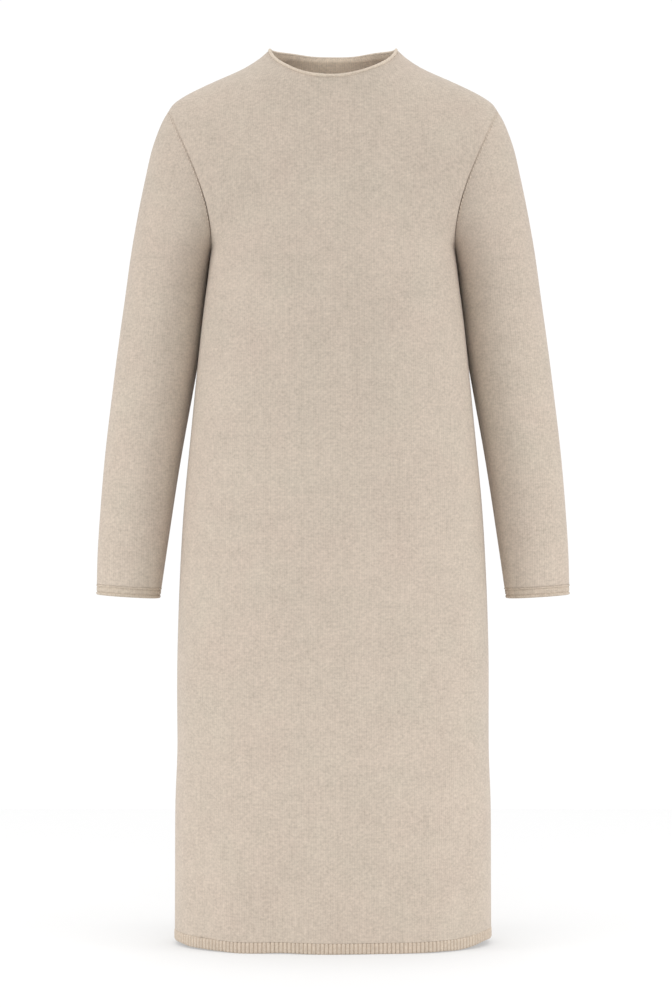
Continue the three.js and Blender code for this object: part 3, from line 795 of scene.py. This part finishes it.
# %% Sleeve tables
SLEEVE = rows(
    "turn outer_x outer_z inner_x inner_z depth swing",
    (0, 208, -58, 154.5, -235, 58, 0),
    (1, 218, -76, 155.4, -239, 57.5, 0),
    (2, 229.6, -107, 156.6, -246, 57, 2.5),
    (3, 239, -147, 158, -255, 56, 5),
    (4, 248, -190, 160, -268, 55, 9),
    (5, 257, -240, 162, -288, 53.5, 13),
    (6, 265.2, -298, 165.5, -320, 52, 16),
    (7, 271.8, -345, 170, -358, 50, 16),
    (8, 279, -401, 178.4, -407, 47, 14),
    (9, 290.5, -502, 196, -506, 40, 8),
    (10, 298, -604, 211.4, -608, 33, 0),
    (11, 299.5, -659.5, 219.5, -664.5, 30, -6),
    (12, 299.5, -672.5, 221.5, -677.5, 29, -7),
)
SLEEVE_CREASES = rows(
    "turn angle long wide rise",
    (2.6, 0.75, 0.5, 0.35, 0.9),
    (4.4, 1.15, 0.7, 0.3, -1.0),
    (5.6, 2.1, 0.6, 0.22, 1.2),
    (7.4, 1.3, 0.8, 0.2, -1.2),
    (7.9, 1.9, 0.7, 0.2, 1.1),
    (8.6, 1.2, 0.6, 0.16, -0.9),
    (9.7, 2.2, 0.9, 0.14, 0.9),
    (4.1, 4.6, 0.8, 0.3, -1.1),
    (6.8, 4.9, 0.6, 0.25, 1.3),
    (8.3, 5.1, 0.7, 0.18, -1.3),
    (9.2, 4.3, 0.8, 0.16, 1.0),
    (10.4, 5.3, 0.7, 0.12, -0.7),
)
CUFF_TURN = 12
SLEEVE_CLEARANCE = 0.5
SLEEVE_WRAP = 6
WRAP_FULL_AT = 4
BOW_FADES_AT = 4


# %% Sleeve surface
def body_side(y, z):
    """The half width of the body at a place in its side: the oval of the course at that height."""
    depth = np.where(y < 0, read(FRONT_LINE, "z", "depth", z), read(BACK_LINE, "z", "depth", z))
    share = np.minimum(np.abs(y) / depth, 1)
    return read(SIDE_SEAM, "z", "x", z) * (1 - share**SQUARENESS) ** (1 / SQUARENESS)


def sleeve_points(turn, angle):
    """Ring points: half way between the inner and the outer line, plus half their distance times
    cos(angle), and depth times sin(angle) to the front. The bow of the armhole fades out over the first
    rings, and behind the body the sleeve wraps round it a little, so that it hides its own inner edge
    from the front."""
    columns = ("outer_x", "outer_z", "inner_x", "inner_z", "depth", "swing")
    ring = {c: read(SLEEVE, "turn", c, turn) for c in columns}
    c, s = np.cos(angle), np.sin(angle)
    x = ring["inner_x"] + (ring["outer_x"] - ring["inner_x"]) * (1 + c) / 2
    z = ring["inner_z"] + (ring["outer_z"] - ring["inner_z"]) * (1 + c) / 2
    y = ring["swing"] - ring["depth"] * s
    x = x - armhole_bow(angle)[0] * np.maximum(1 - turn / BOW_FADES_AT, 0)
    x = x - SLEEVE_WRAP * np.minimum(turn / WRAP_FULL_AT, 1) * np.maximum(-s, 0) * (1 - c)
    clear = np.where(z < ARMHOLE["foot_z"], body_side(y, z) + SLEEVE_CLEARANCE, 0)
    return np.stack([np.maximum(x, clear), y, z], -1)


def crease_rise(turn, angle, shift):
    """Sleeve creases: a cosine bump round the sleeve times a Gaussian down it, tilted a little."""
    total = np.zeros(np.broadcast(turn, angle).shape)
    for k in SLEEVE_CREASES:
        round_off = (angle - k["angle"] - shift + np.pi) % (2 * np.pi) - np.pi
        bump = np.cos(np.clip(round_off / k["long"], -1, 1) * np.pi / 2) ** 2
        total += k["rise"] * bump * np.exp(-(((turn - k["turn"] + 0.25 * round_off) / k["wide"]) ** 2))
    return total


SLEEVE_ROUND = 116
SLEEVE_RINGS = 210
UNDERARM_STEPS = np.array([0.35, 0.9, 1.6, 2.6]) / 45
FIRST_RINGS = EDGE_STEPS[1:] / 16
EVEN_RINGS_FROM = 0.36
HEAD_DIPS = rows("angle dip", (0, 0.3), (0.5, 0.7), (np.pi, 0.7))
UNDERARM_DIP = 0.55
UNDERARM_SOFTNESS = 1.2


def sleeve_angles():
    """Angles round the sleeve, even, with a few more at the seam under the arm."""
    even = np.linspace(-np.pi, np.pi, SLEEVE_ROUND, endpoint=False)
    even = even[np.abs(np.abs(even) - np.pi) > UNDERARM_STEPS[-1] + 0.02]
    near = np.concatenate([-np.pi + UNDERARM_STEPS, [np.pi], np.pi - UNDERARM_STEPS])
    return np.sort(np.concatenate([even, near]))


def sleeve_surface(shift):
    """Outer and inner grid and UV of the sleeve on the dress's left. shift turns the creases a little."""
    angle = sleeve_angles()[None, :]
    even = np.linspace(EVEN_RINGS_FROM, CUFF_TURN - 1, SLEEVE_RINGS)
    turn = np.concatenate([FIRST_RINGS, even])[:, None]
    head, lean = armhole(angle[0], 1)
    grid = np.concatenate([head[None], sleeve_points(turn, angle)])
    turn = np.concatenate([[[0.0]], turn])
    normal = grid_normals(grid, True)
    grid = grid + normal * crease_rise(turn, angle, shift)[..., None]
    normal = grid_normals(grid, True)
    down = running_length(grid, 0)
    weight = np.exp(-((down / LEAN_REACH) ** 2))[..., None]
    into = unit(lean[None] * weight + normal * (1 - weight))
    inner = grid - into * WALL
    radius = np.linalg.norm(grid - grid.mean(1, keepdims=True), axis=-1)
    to_underarm = (np.pi - np.abs(angle)) * radius
    head_dip = np.interp(np.abs(angle), column(HEAD_DIPS, "angle"), column(HEAD_DIPS, "dip"))
    dip = head_dip * np.exp(-((down / SEAM_SOFTNESS) ** 2))
    dip = np.maximum(dip, UNDERARM_DIP * np.exp(-((to_underarm / UNDERARM_SOFTNESS) ** 2)))
    outer = grid - into * dip[..., None]
    wrapped = np.concatenate([grid, grid[:, :1]], 1)
    tape = running_length(wrapped, 1)
    tape = tape - tape[:, -1:] / 2
    height = np.concatenate([down, down[:, :1]], 1)
    return outer, inner, np.stack([tape, height[-1:] - height], -1)


def other_side(grid):
    """The same surface on the other side of the body, with its columns turned round so that it still
    faces out."""
    return (grid * np.array([-1.0, 1, 1]))[:, ::-1]


def make_sleeve(name, node, side, shift):
    """A sleeve, the shape that is folded round and linked under the arm, with its girth and area printed."""
    outer, inner, uv = sleeve_surface(shift)
    if side < 0:
        outer, inner, uv = other_side(outer), other_side(inner), uv[:, ::-1]
    obj = wall_object(name, outer, inner, uv, KNIT, closed=True)
    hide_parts(node)
    wrapped = np.concatenate([outer, outer[:, :1]], 1)
    girth = float(np.ptp(uv[..., 0], axis=1).max() * MM)
    print(name, "is", round(girth, 3), "m round, area", round(cloth_area(wrapped), 3))
    return obj


sleeve_left = make_sleeve("knit_sleeve_left", "sleeve_left", 1, 0.0)
sleeve_right = make_sleeve("knit_sleeve_right", "sleeve_right", -1, 0.25)

# %% [markdown]
# The sleeve is linked into the armhole, and the linking shows on its right side as a row of short slanted
# stitches, a few millimetres from the seam. They are small capsules laid on the sleeve's own grid, so
# each one knows its place, its direction and which way is out.

# %% Linking stitches
STITCH_PITCH = 5.0
STITCH_LENGTH = 3.6
STITCH_RADIUS = 0.75
STITCH_SLANT = 0.55
STITCH_FROM_SEAM = 2.0
SHOULDER_CLEAR = 14
STITCH_RINGS = 5
STITCH_SIDES = 6
STITCH_SUNK = 0.45


def stitch_line(outer):
    """Places along the armhole on the sleeve, with their directions along the seam, down the sleeve and
    outwards. The few nearest the shoulder point are left out, where the seam turns edge on."""
    down = running_length(outer, 0).mean(1)
    row = int(np.argmin(np.abs(down - STITCH_FROM_SEAM)))
    tape = running_length(np.concatenate([outer[row], outer[row, :1]]), 0)
    wanted = np.arange(0, tape[-1], STITCH_PITCH)
    columns = (outer[row], grid_normals(outer, True)[row], unit(outer[row + 2] - outer[row]))
    at, out, below = [
        np.stack([np.interp(wanted, tape, np.append(v[:, k], v[0, k])) for k in range(3)], -1)
        for v in columns
    ]
    ahead = unit(np.roll(at, -1, 0) - np.roll(at, 1, 0))
    keep = np.linalg.norm(at - at[np.argmax(at[:, 2])], axis=-1) > SHOULDER_CLEAR
    return at[keep], ahead[keep], unit(below)[keep], unit(out)[keep]


def capsules(at, run, out):
    """Points and faces of small capsules: middle + over cos(angle) girth + out sin(angle) girth, half
    sunk."""
    over = unit(np.cross(out, run))
    t = np.linspace(-1, 1, STITCH_RINGS)
    girth = (np.sqrt(np.clip(1.06 - t**2, 0.06, 1)) * STITCH_RADIUS)[None, :, None, None]
    angle = np.linspace(0, 2 * np.pi, STITCH_SIDES, endpoint=False)[None, None, :, None]
    rise = STITCH_RADIUS * STITCH_SUNK * (1 - t**2)
    along = run[:, None] * (t * STITCH_LENGTH / 2)[None, :, None]
    middle = at[:, None] + along + out[:, None] * rise[None, :, None]
    around = over[:, None, None] * np.cos(angle) + out[:, None, None] * np.sin(angle)
    points = (middle[:, :, None] + around * girth).reshape(-1, 3)
    i, j = np.meshgrid(np.arange(STITCH_RINGS - 1), np.arange(STITCH_SIDES), indexing="ij")
    i, j, beside = i.ravel(), j.ravel(), (j.ravel() + 1) % STITCH_SIDES
    one = np.stack([i * STITCH_SIDES + j, i * STITCH_SIDES + beside, (i + 1) * STITCH_SIDES + beside,
                    (i + 1) * STITCH_SIDES + j], -1)
    starts = np.arange(len(at)) * STITCH_RINGS * STITCH_SIDES
    return points, (one[None] + starts[:, None, None]).reshape(-1, 4)


def make_stitches(name, side, shift):
    """All the stitches of one armhole as one mesh."""
    outer, _, _ = sleeve_surface(shift)
    if side < 0:
        outer = other_side(outer)
    at, ahead, below, out = stitch_line(outer)
    points, faces = capsules(at, unit(ahead * side + below * STITCH_SLANT), out)
    corner_uv = np.repeat(faces.reshape(-1, 1) * 0.9, 2, 1)
    print(name, "has", len(at), "stitches")
    return mesh_object(name, points, faces, corner_uv, LINKING)


make_stitches("linking_stitches_left", 1, 0.0)
make_stitches("linking_stitches_right", -1, 0.25)

# %% [markdown]
# The hem is a one-by-one rib: every other wale is a purl, so it sinks and the knit wales stand up like
# cords. A bump map can't give the notched lower edge or the shade under the panel, so the ribs are in the
# mesh. Their section is the square root of a cosine, which has round tops and narrow furrows. The panel's
# foot overhangs the rib a little, since the ribbing pulls in.

# %% Hem rib
RIB_RELIEF = 1.5
RIB_MEAN = 0.72
RIB_POINTS = 8
FOOT_TURN = dict(depth=0.9, reach=1.0)
TOP_TURN = dict(depth=0.6, reach=1.2)
FURROW_NOTCH = 0.4
RIB_ROWS = np.array([0, 0.5, 1.1, 2, 3.2, 5, 7, 9, 10.5, 11.6, 12.4, 13, 13.5])


def rib_surface(panel):
    """Outer and inner grid and UV of a band of ribs: relief times sqrt(|cos(pi tape / pitch)|), less at
    the ends."""
    st = skirt_stations(panel, HEM_Z + RIB_ROWS)
    fine = np.linspace(-1, 1, 2 * FINE_STEPS - 1)[None, :]
    points = course_points(panel, st, np.repeat(fine, len(RIB_ROWS), 0))
    tape = running_length(points, 1)
    ribs = int(round(tape[0, -1] / RIB_PITCH))
    place = np.linspace(0, 1, ribs * RIB_POINTS + 1)
    across = np.stack([np.interp(place * t[-1], t, fine[0]) for t in tape])
    grid = course_points(panel, st, across)
    normal = grid_normals(grid, False)
    wave = np.sqrt(np.abs(np.sin(np.pi * place * ribs)))[None, :]
    up = RIB_ROWS[:, None]
    turn_in = -FOOT_TURN["depth"] * np.exp(-((up / FOOT_TURN["reach"]) ** 2))
    turn_in = turn_in - TOP_TURN["depth"] * np.exp(-(((RIB_HEIGHT - up) / TOP_TURN["reach"]) ** 2))
    wobble = 0.2 * np.sin(place * 37) + 0.15 * np.sin(place * 83 + 1)
    outer = grid + normal * (RIB_RELIEF * (wave - RIB_MEAN) + 0.1 + turn_in)[..., None]
    outer[..., 2] += (FURROW_NOTCH * (1 - wave) + wobble) * np.exp(-((up / 3) ** 2))
    inner = grid - normal * WALL
    lift = hem_lift(outer)
    outer[..., 2] += lift
    inner[..., 2] += lift
    uv = np.stack([np.repeat(place[None] * ribs * RIB_PITCH, len(RIB_ROWS), 0), up + 0 * place], -1)
    return outer, inner, uv, ribs


def make_rib(panel, name, node):
    """One half of the hem rib."""
    outer, inner, uv, ribs = rib_surface(panel)
    obj = wall_object(name, outer, inner, uv, RIB)
    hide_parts(node)
    print(name, "has", ribs, "ribs, area", round(cloth_area(inner), 4))
    return obj


rib_front = make_rib(FRONT, "rib_hem_front", "hem_rib_front")
rib_back = make_rib(BACK, "rib_hem_back", "hem_rib_back")

# %% [markdown]
# The cuff and the neck are edges that roll by themselves, as stocking stitch does when nothing holds it.
# Both are a profile carried round a ring: the cuff has a linked ridge, a narrow band, a groove and a
# roll, and the neck has the roll alone. Carrying a profile is the quickest way to a shape whose section
# never changes, and a slow wave in its size keeps it from looking like piping.

# %% Cuffs
CUFF_PROFILE = rows(
    "down out",
    (-0.3, -0.7), (0.2, 0.0), (0.7, 0.55), (1.3, 0.75), (1.9, 0.45), (2.3, -0.3),
    (2.7, -0.45), (3.3, 0.0), (5, 0.15), (6.6, 0.15), (8.0, 0.1), (8.6, -0.3), (9.0, -0.75),
    (9.4, -0.6), (9.8, 0.1), (10.4, 0.6), (11.2, 0.7), (12.1, 0.4), (12.8, -0.2),
    (13, -1.0), (12.7, -1.8), (11.8, -2.4), (10.2, -2.5), (8, -2.3), (4, -2.3), (0, -2.3),
)
CUFF_LENGTH = 13.0
CUFF_COLUMNS = 144


def ring_object(name, sections, uv, material):
    """A closed ring from sections: sections[i, j] is corner j of the profile at place i round the ring."""
    count, sides = sections.shape[:2]
    i, j = np.meshgrid(np.arange(count), np.arange(sides), indexing="ij")
    i, j = i.ravel(), j.ravel()
    nxt = (i + 1) % count
    above = (j + 1) % sides
    faces = np.stack([i * sides + j, nxt * sides + j, nxt * sides + above, i * sides + above], -1)
    width = sides + 1
    corner = np.stack([i * width + j, (i + 1) * width + j, (i + 1) * width + j + 1, i * width + j + 1], -1)
    corner_uv = uv.reshape(-1, 2)[corner.ravel()]
    return mesh_object(name, sections.reshape(-1, 3), faces, corner_uv, material)


def cuff_sections(side):
    """The profile at each angle: down the sleeve's own line, and out along the ring's normal."""
    angle = np.linspace(0, 2 * np.pi, CUFF_COLUMNS, endpoint=False)
    top = sleeve_points(np.full_like(angle, CUFF_TURN - 1.0), angle)
    foot = sleeve_points(np.full_like(angle, float(CUFF_TURN)), angle)
    down = unit(foot - top)
    turn = np.full_like(angle, float(CUFF_TURN))
    outward = unit(np.cross(sleeve_points(turn, angle + 0.05) - sleeve_points(turn, angle - 0.05), down))
    table_down = column(CUFF_PROFILE, "down")[None, :, None]
    table_out = column(CUFF_PROFILE, "out")[None, :, None]
    wave = (1 + 0.12 * np.sin(3 * angle + 0.6) + 0.08 * np.sin(7 * angle))[:, None, None]
    sections = top[:, None] + (foot - top)[:, None] * table_down / CUFF_LENGTH
    sections = sections + outward[:, None] * table_out * np.where(table_out > 0, wave, 1)
    if side < 0:
        sections = (sections * np.array([-1.0, 1, 1]))[::-1]
    return sections


def ring_uv(sections, along_profile=True):
    """UV in millimetres: u round the ring and v along the profile, each one step longer than the
    sections."""
    closed = np.concatenate([sections, sections[:1]])
    profile = np.concatenate([sections[0], sections[0][:1]])
    u, v = np.meshgrid(running_length(closed[:, 0], 0), running_length(profile, 0), indexing="ij")
    return np.stack([u, v] if along_profile else [v, u], -1)


def make_cuff(name, node, side):
    """A cuff: a narrow band that ends in a roll."""
    sections = cuff_sections(side)
    obj = ring_object(name, sections, ring_uv(sections), EDGE)
    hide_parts(node)
    return obj


cuff_left = make_cuff("rolled_cuff_left", "cuff_left", 1)
cuff_right = make_cuff("rolled_cuff_right", "cuff_right", -1)
print("cuff sections:", cuff_sections(1).shape)

# %% Neck roll
ROLL_RADIUS = 2.1
ROLL_OUT = 0.7
ROLL_SIDES = 14
ROLL_COLUMNS = 150
ROLL_SMOOTHING = 6
ROLL_MIN_STEP = 0.8


def neck_line(panel):
    """The neckline of one panel and the way the cloth points there, from its last two courses."""
    st = upper_stations(panel, np.array([0.985, 1.0]))
    grid, _, _ = measured_courses(panel, st, ROLL_COLUMNS)
    up = unit(grid[1] - grid[0])
    grid[1, :, 2] += wave_lift(panel["neck"], grid[1], 0, NECK_FADES)
    return grid[1], up


def roll_sections():
    """A round section of slowly changing size, sunk a little into the top of the collar."""
    (front_at, front_up), (back_at, back_up) = neck_line(FRONT), neck_line(BACK)
    at = np.concatenate([front_at[:-1], back_at[:-1]])
    up = np.concatenate([front_up[:-1], back_up[:-1]])
    keep = np.linalg.norm(np.roll(at, -1, 0) - at, axis=-1) > ROLL_MIN_STEP
    at, up = at[keep], up[keep]
    for _ in range(ROLL_SMOOTHING):
        up = unit(np.roll(up, 1, 0) + up * 2 + np.roll(up, -1, 0))
    outward = unit(np.cross(np.roll(at, -1, 0) - np.roll(at, 1, 0), up))
    place = np.linspace(0, 2 * np.pi, len(at), endpoint=False)
    radius = ROLL_RADIUS * (1 + 0.05 * np.sin(5 * place + 1) + 0.04 * np.sin(11 * place))[:, None, None]
    heart = at - outward * (WALL / 2 - ROLL_OUT) + up * (ROLL_RADIUS - 0.1)
    angle = np.linspace(0, 2 * np.pi, ROLL_SIDES, endpoint=False)[None, :, None]
    return heart[:, None] + radius * (outward[:, None] * np.cos(angle) - up[:, None] * np.sin(angle))


sections = roll_sections()
# The neck roll wears the paler tint, which is painted light.
neck = ring_object("rolled_neck", sections, ring_uv(sections, False), ROLL_PAINTED_LIGHT)
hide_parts("neck_roll")
print("neck roll sections:", sections.shape)

# %% [markdown]
# Light, floor and camera. The dress stands in a white sweep between two large soft boxes, one at each
# side and a little in front. So the front is evenly lit, the sides a little more, and each sleeve goes
# dark towards the body, which hides one of the boxes from it. A pale world gives the rest: it is brighter
# up above, before and behind. The camera sees plain white behind the dress. The floor glows a little as
# well, like a light table, so it burns out as an overexposed sweep does, and its colour is painted grey
# where the dress stands close to it, as the occlusion node measures: painted shadow.

# %% Studio
CAMERA_DISTANCE = 4.7
VIEW_CENTRE = (0.0038, -0.558)
VIEW_HEIGHT = 1.280
CAMERA_Z = -0.478
SENSOR = 36.0
FLOOR_Z = (HEM_Z - 0.3) * MM
FLOOR_HALF = 1.7
FLOOR_WHITE = 0.52
# The floor's colour near the dress: painted shadow.
FLOOR_PAINTED_SHADOW_GREY = 0.38
FLOOR_GLOW = 0.38
SHADOW_REACH = 0.19
BOX_POWER = 28.5
BOX_SIZE = 1.5
BOX_DISTANCE = 2.6
BOX_AZIMUTH = np.radians(72)
BOX_Z = 0.0
BOX_AIMS_AT = (0, 0, -0.4)
ALL_ROUND = 0.2
ABOVE = 1.35
ABOVE_HEIGHT = np.radians(50)
BEHIND_CAMERA = 0.15
CAMERA_LOBE = 6
BACKDROP = 1.02


def add_floor():
    """A wide flat sweep under the dress, matt white and lit a little from below like a light table, so
    that the shade where the dress stands stays soft. Within reach of what stands on it its colour is painted
    greyer: painted shadow."""
    half = FLOOR_HALF
    mesh = bpy.data.meshes.new("floor")
    corners = [(-half, -half, FLOOR_Z), (half, -half, FLOOR_Z), (half, half, FLOOR_Z), (-half, half, FLOOR_Z)]
    mesh.from_pydata(corners, [], [(0, 1, 2, 3)])
    material, tree, shader = sheet_of_nodes("white_sweep")
    # Painted shadow: the occlusion node turns the floor's colour from white to grey where the dress stands
    # close.
    near = tree.nodes.new("ShaderNodeAmbientOcclusion")
    near.inputs["Distance"].default_value = SHADOW_REACH
    colour = mixed(tree, near.outputs["AO"], (FLOOR_PAINTED_SHADOW_GREY,) * 3, (FLOOR_WHITE,) * 3)
    tree.links.new(colour, shader.inputs["Base Color"])
    shader.inputs["Roughness"].default_value = 1.0
    shader.inputs["Emission Color"].default_value = (1, 1, 1, 1)
    shader.inputs["Emission Strength"].default_value = FLOOR_GLOW
    shader.inputs["Specular IOR Level"].default_value = 0.0
    floor = bpy.data.objects.new("floor", mesh)
    floor.data.materials.append(material)
    bpy.context.scene.collection.objects.link(floor)
    return floor


def add_box(name, side):
    """A large soft box beside the dress, pointed at its chest."""
    data = bpy.data.lights.new(name, "AREA")
    data.shape = "SQUARE"
    data.size = BOX_SIZE
    data.energy = BOX_POWER
    lamp = bpy.data.objects.new(name, data)
    out, front = BOX_DISTANCE * float(np.sin(BOX_AZIMUTH)), BOX_DISTANCE * float(np.cos(BOX_AZIMUTH))
    lamp.location = (side * out, -front, BOX_Z)
    lamp.rotation_euler = (Vector(BOX_AIMS_AT) - lamp.location).to_track_quat("-Z", "Y").to_euler()
    lamp.visible_camera = False
    bpy.context.scene.collection.objects.link(lamp)
    return lamp


def add_camera():
    """A long lens, level with the waist and shifted down to the middle of the dress, so that uprights
    stay upright."""
    data = bpy.data.cameras.new("camera")
    data.sensor_width = SENSOR
    data.lens = SENSOR * CAMERA_DISTANCE / VIEW_HEIGHT
    data.clip_end = 100
    camera = bpy.data.objects.new("camera", data)
    data.shift_y = (VIEW_CENTRE[1] - CAMERA_Z) / VIEW_HEIGHT
    camera.location = (VIEW_CENTRE[0], -CAMERA_DISTANCE, CAMERA_Z)
    camera.rotation_euler = (np.pi / 2, 0, 0)
    bpy.context.scene.collection.objects.link(camera)
    bpy.context.scene.camera = camera
    return camera


def add_world():
    """In direction (x, y, z) the strength is all round + above (|y| cos height + z sin height)^2 +
    camera (-y)^6."""
    world = bpy.data.worlds.new("white_studio")
    bpy.context.scene.world = world
    world.use_nodes = True
    tree = world.node_tree
    split = tree.nodes.new("ShaderNodeSeparateXYZ")
    tree.links.new(tree.nodes.new("ShaderNodeTexCoord").outputs["Generated"], split.inputs["Vector"])
    y, z = split.outputs["Y"], split.outputs["Z"]
    leaning = [(maths(tree, "ABSOLUTE", y), float(np.cos(ABOVE_HEIGHT))), (z, float(np.sin(ABOVE_HEIGHT)))]
    up = maths(tree, "POWER", maths(tree, "MAXIMUM", layered(tree, leaning), 0.0), 2.0)
    strength = maths(tree, "MULTIPLY_ADD", up, ABOVE, ALL_ROUND)
    ahead = maths(tree, "MAXIMUM", maths(tree, "MULTIPLY", y, -1.0), 0.0)
    lobe = maths(tree, "POWER", ahead, float(CAMERA_LOBE))
    strength = maths(tree, "MULTIPLY_ADD", lobe, BEHIND_CAMERA, strength)
    seen = tree.nodes.new("ShaderNodeLightPath").outputs["Is Camera Ray"]
    to_backdrop = maths(tree, "MULTIPLY", maths(tree, "SUBTRACT", BACKDROP, strength), seen)
    tree.links.new(maths(tree, "ADD", strength, to_backdrop), tree.nodes["Background"].inputs["Strength"])
    tree.nodes["Background"].inputs["Color"].default_value = (1, 1, 1, 1)


add_floor()
add_world()
add_box("box_left", 1)
add_box("box_right", -1)
add_camera()
bpy.context.scene.view_settings.view_transform = "Standard"
